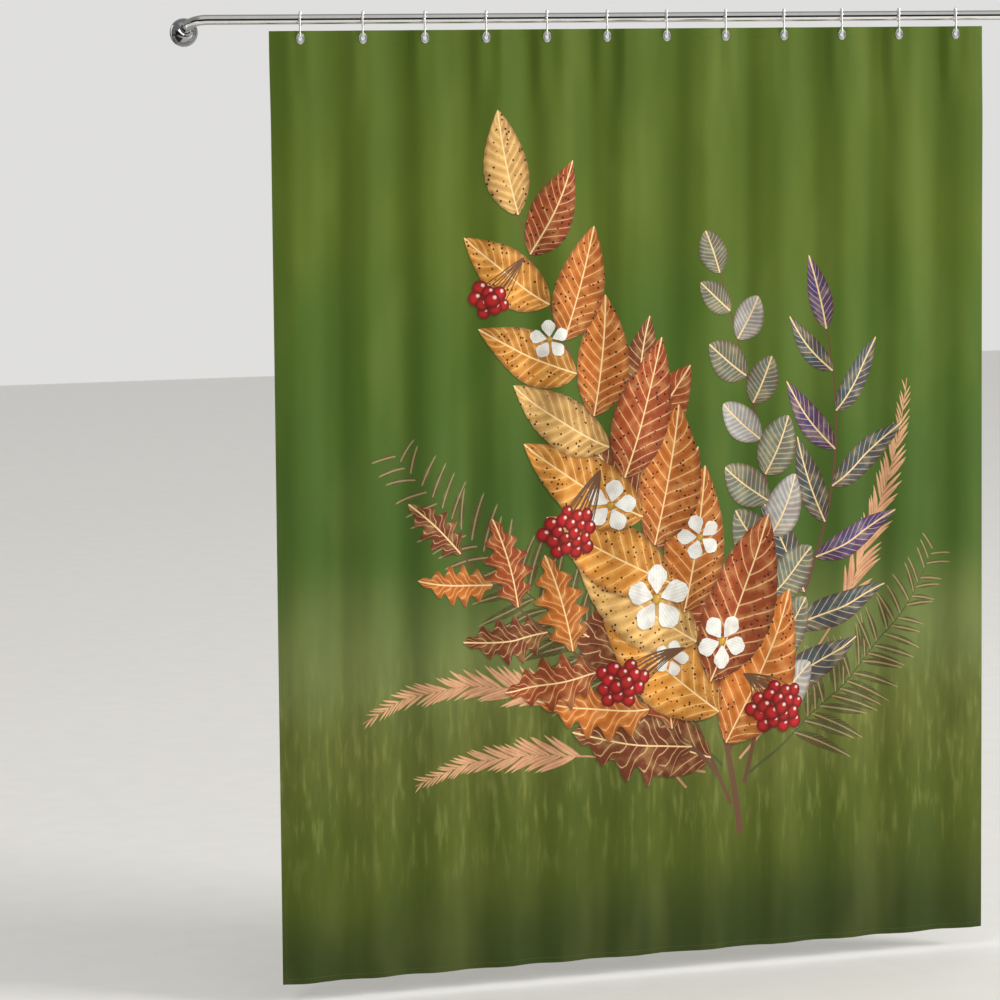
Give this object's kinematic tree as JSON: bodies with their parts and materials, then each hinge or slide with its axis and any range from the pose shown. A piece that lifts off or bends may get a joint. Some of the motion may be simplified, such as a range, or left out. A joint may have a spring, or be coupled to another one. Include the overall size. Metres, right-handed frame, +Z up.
{
  "type": "printed fabric shower curtain on a wall-mounted rod with hooks",
  "caption": "Printed fabric shower curtain with soft vertical folds, hung by roller hooks through hem eyelets from a chrome rod with bent ends and domed wall flanges.",
  "frame": {"origin": "middle of the left flange's back face, where it meets the wall", "axes": "+X along the rod to the right, +Y into the wall, +Z up"},
  "size_m": [1.825, 0.0788, 1.8661],
  "materials": {
    "rod": "polished",
    "flange": "polished",
    "hook": "polished",
    "eyelet": "satin nickel",
    "cloth": "printed polyester weave"
  },
  "bodies": {
    "rod": {"rod_tube": "rod", "rod_end_left": "rod", "rod_end_right": "rod", "flange_left": "flange", "flange_right": "flange"},
    "hanger_01": {"hook_01": "hook", "eyelet_01": "eyelet", "panel_01": "cloth"},
    "hanger_02": {"hook_02": "hook", "eyelet_02": "eyelet", "panel_02": "cloth"},
    "hanger_03": {"hook_03": "hook", "eyelet_03": "eyelet", "panel_03": "cloth"},
    "hanger_04": {"hook_04": "hook", "eyelet_04": "eyelet", "panel_04": "cloth"},
    "hanger_05": {"hook_05": "hook", "eyelet_05": "eyelet", "panel_05": "cloth"},
    "hanger_06": {"hook_06": "hook", "eyelet_06": "eyelet", "panel_06": "cloth"},
    "hanger_07": {"hook_07": "hook", "eyelet_07": "eyelet", "panel_07": "cloth"},
    "hanger_08": {"hook_08": "hook", "eyelet_08": "eyelet", "panel_08": "cloth"},
    "hanger_09": {"hook_09": "hook", "eyelet_09": "eyelet", "panel_09": "cloth"},
    "hanger_10": {"hook_10": "hook", "eyelet_10": "eyelet", "panel_10": "cloth"},
    "hanger_11": {"hook_11": "hook", "eyelet_11": "eyelet", "panel_11": "cloth"},
    "hanger_12": {"hook_12": "hook", "eyelet_12": "eyelet", "panel_12": "cloth"}
  },
  "joints": [
    {"name": "swing", "type": "hinge", "parent": "rod", "child": "hanger_01", "pos_m": [0.209, -0.062, 0.023], "axis": [1, 0, 0], "range_deg": [-12, 12]},
    {"name": "draw", "type": "slide", "parent": "hanger_01", "child": "hanger_12", "axis": [-1, 0, 0], "range_m": [0, 1.023], "deforming": ["panel_12", "panel_01"]},
    {"name": "draw_02", "type": "slide", "parent": "hanger_01", "child": "hanger_02", "axis": [-1, 0, 0], "range_m": [0, 0.093], "deforming": ["panel_02"]},
    {"name": "draw_03", "type": "slide", "parent": "hanger_01", "child": "hanger_03", "axis": [-1, 0, 0], "range_m": [0, 0.186], "deforming": ["panel_03"]},
    {"name": "draw_04", "type": "slide", "parent": "hanger_01", "child": "hanger_04", "axis": [-1, 0, 0], "range_m": [0, 0.279], "deforming": ["panel_04"]},
    {"name": "draw_05", "type": "slide", "parent": "hanger_01", "child": "hanger_05", "axis": [-1, 0, 0], "range_m": [0, 0.372], "deforming": ["panel_05"]},
    {"name": "draw_06", "type": "slide", "parent": "hanger_01", "child": "hanger_06", "axis": [-1, 0, 0], "range_m": [0, 0.465], "deforming": ["panel_06"]},
    {"name": "draw_07", "type": "slide", "parent": "hanger_01", "child": "hanger_07", "axis": [-1, 0, 0], "range_m": [0, 0.558], "deforming": ["panel_07"]},
    {"name": "draw_08", "type": "slide", "parent": "hanger_01", "child": "hanger_08", "axis": [-1, 0, 0], "range_m": [0, 0.651], "deforming": ["panel_08"]},
    {"name": "draw_09", "type": "slide", "parent": "hanger_01", "child": "hanger_09", "axis": [-1, 0, 0], "range_m": [0, 0.744], "deforming": ["panel_09"]},
    {"name": "draw_10", "type": "slide", "parent": "hanger_01", "child": "hanger_10", "axis": [-1, 0, 0], "range_m": [0, 0.837], "deforming": ["panel_10"]},
    {"name": "draw_11", "type": "slide", "parent": "hanger_01", "child": "hanger_11", "axis": [-1, 0, 0], "range_m": [0, 0.93], "deforming": ["panel_11"]}
  ],
  "couplings": [
    {"joint": "draw_02", "follows": "draw", "ratio": 0.090909},
    {"joint": "draw_03", "follows": "draw", "ratio": 0.18182},
    {"joint": "draw_04", "follows": "draw", "ratio": 0.27273},
    {"joint": "draw_05", "follows": "draw", "ratio": 0.36364},
    {"joint": "draw_06", "follows": "draw", "ratio": 0.45454},
    {"joint": "draw_07", "follows": "draw", "ratio": 0.54546},
    {"joint": "draw_08", "follows": "draw", "ratio": 0.63636},
    {"joint": "draw_09", "follows": "draw", "ratio": 0.72727},
    {"joint": "draw_10", "follows": "draw", "ratio": 0.81818},
    {"joint": "draw_11", "follows": "draw", "ratio": 0.90909}
  ]
}
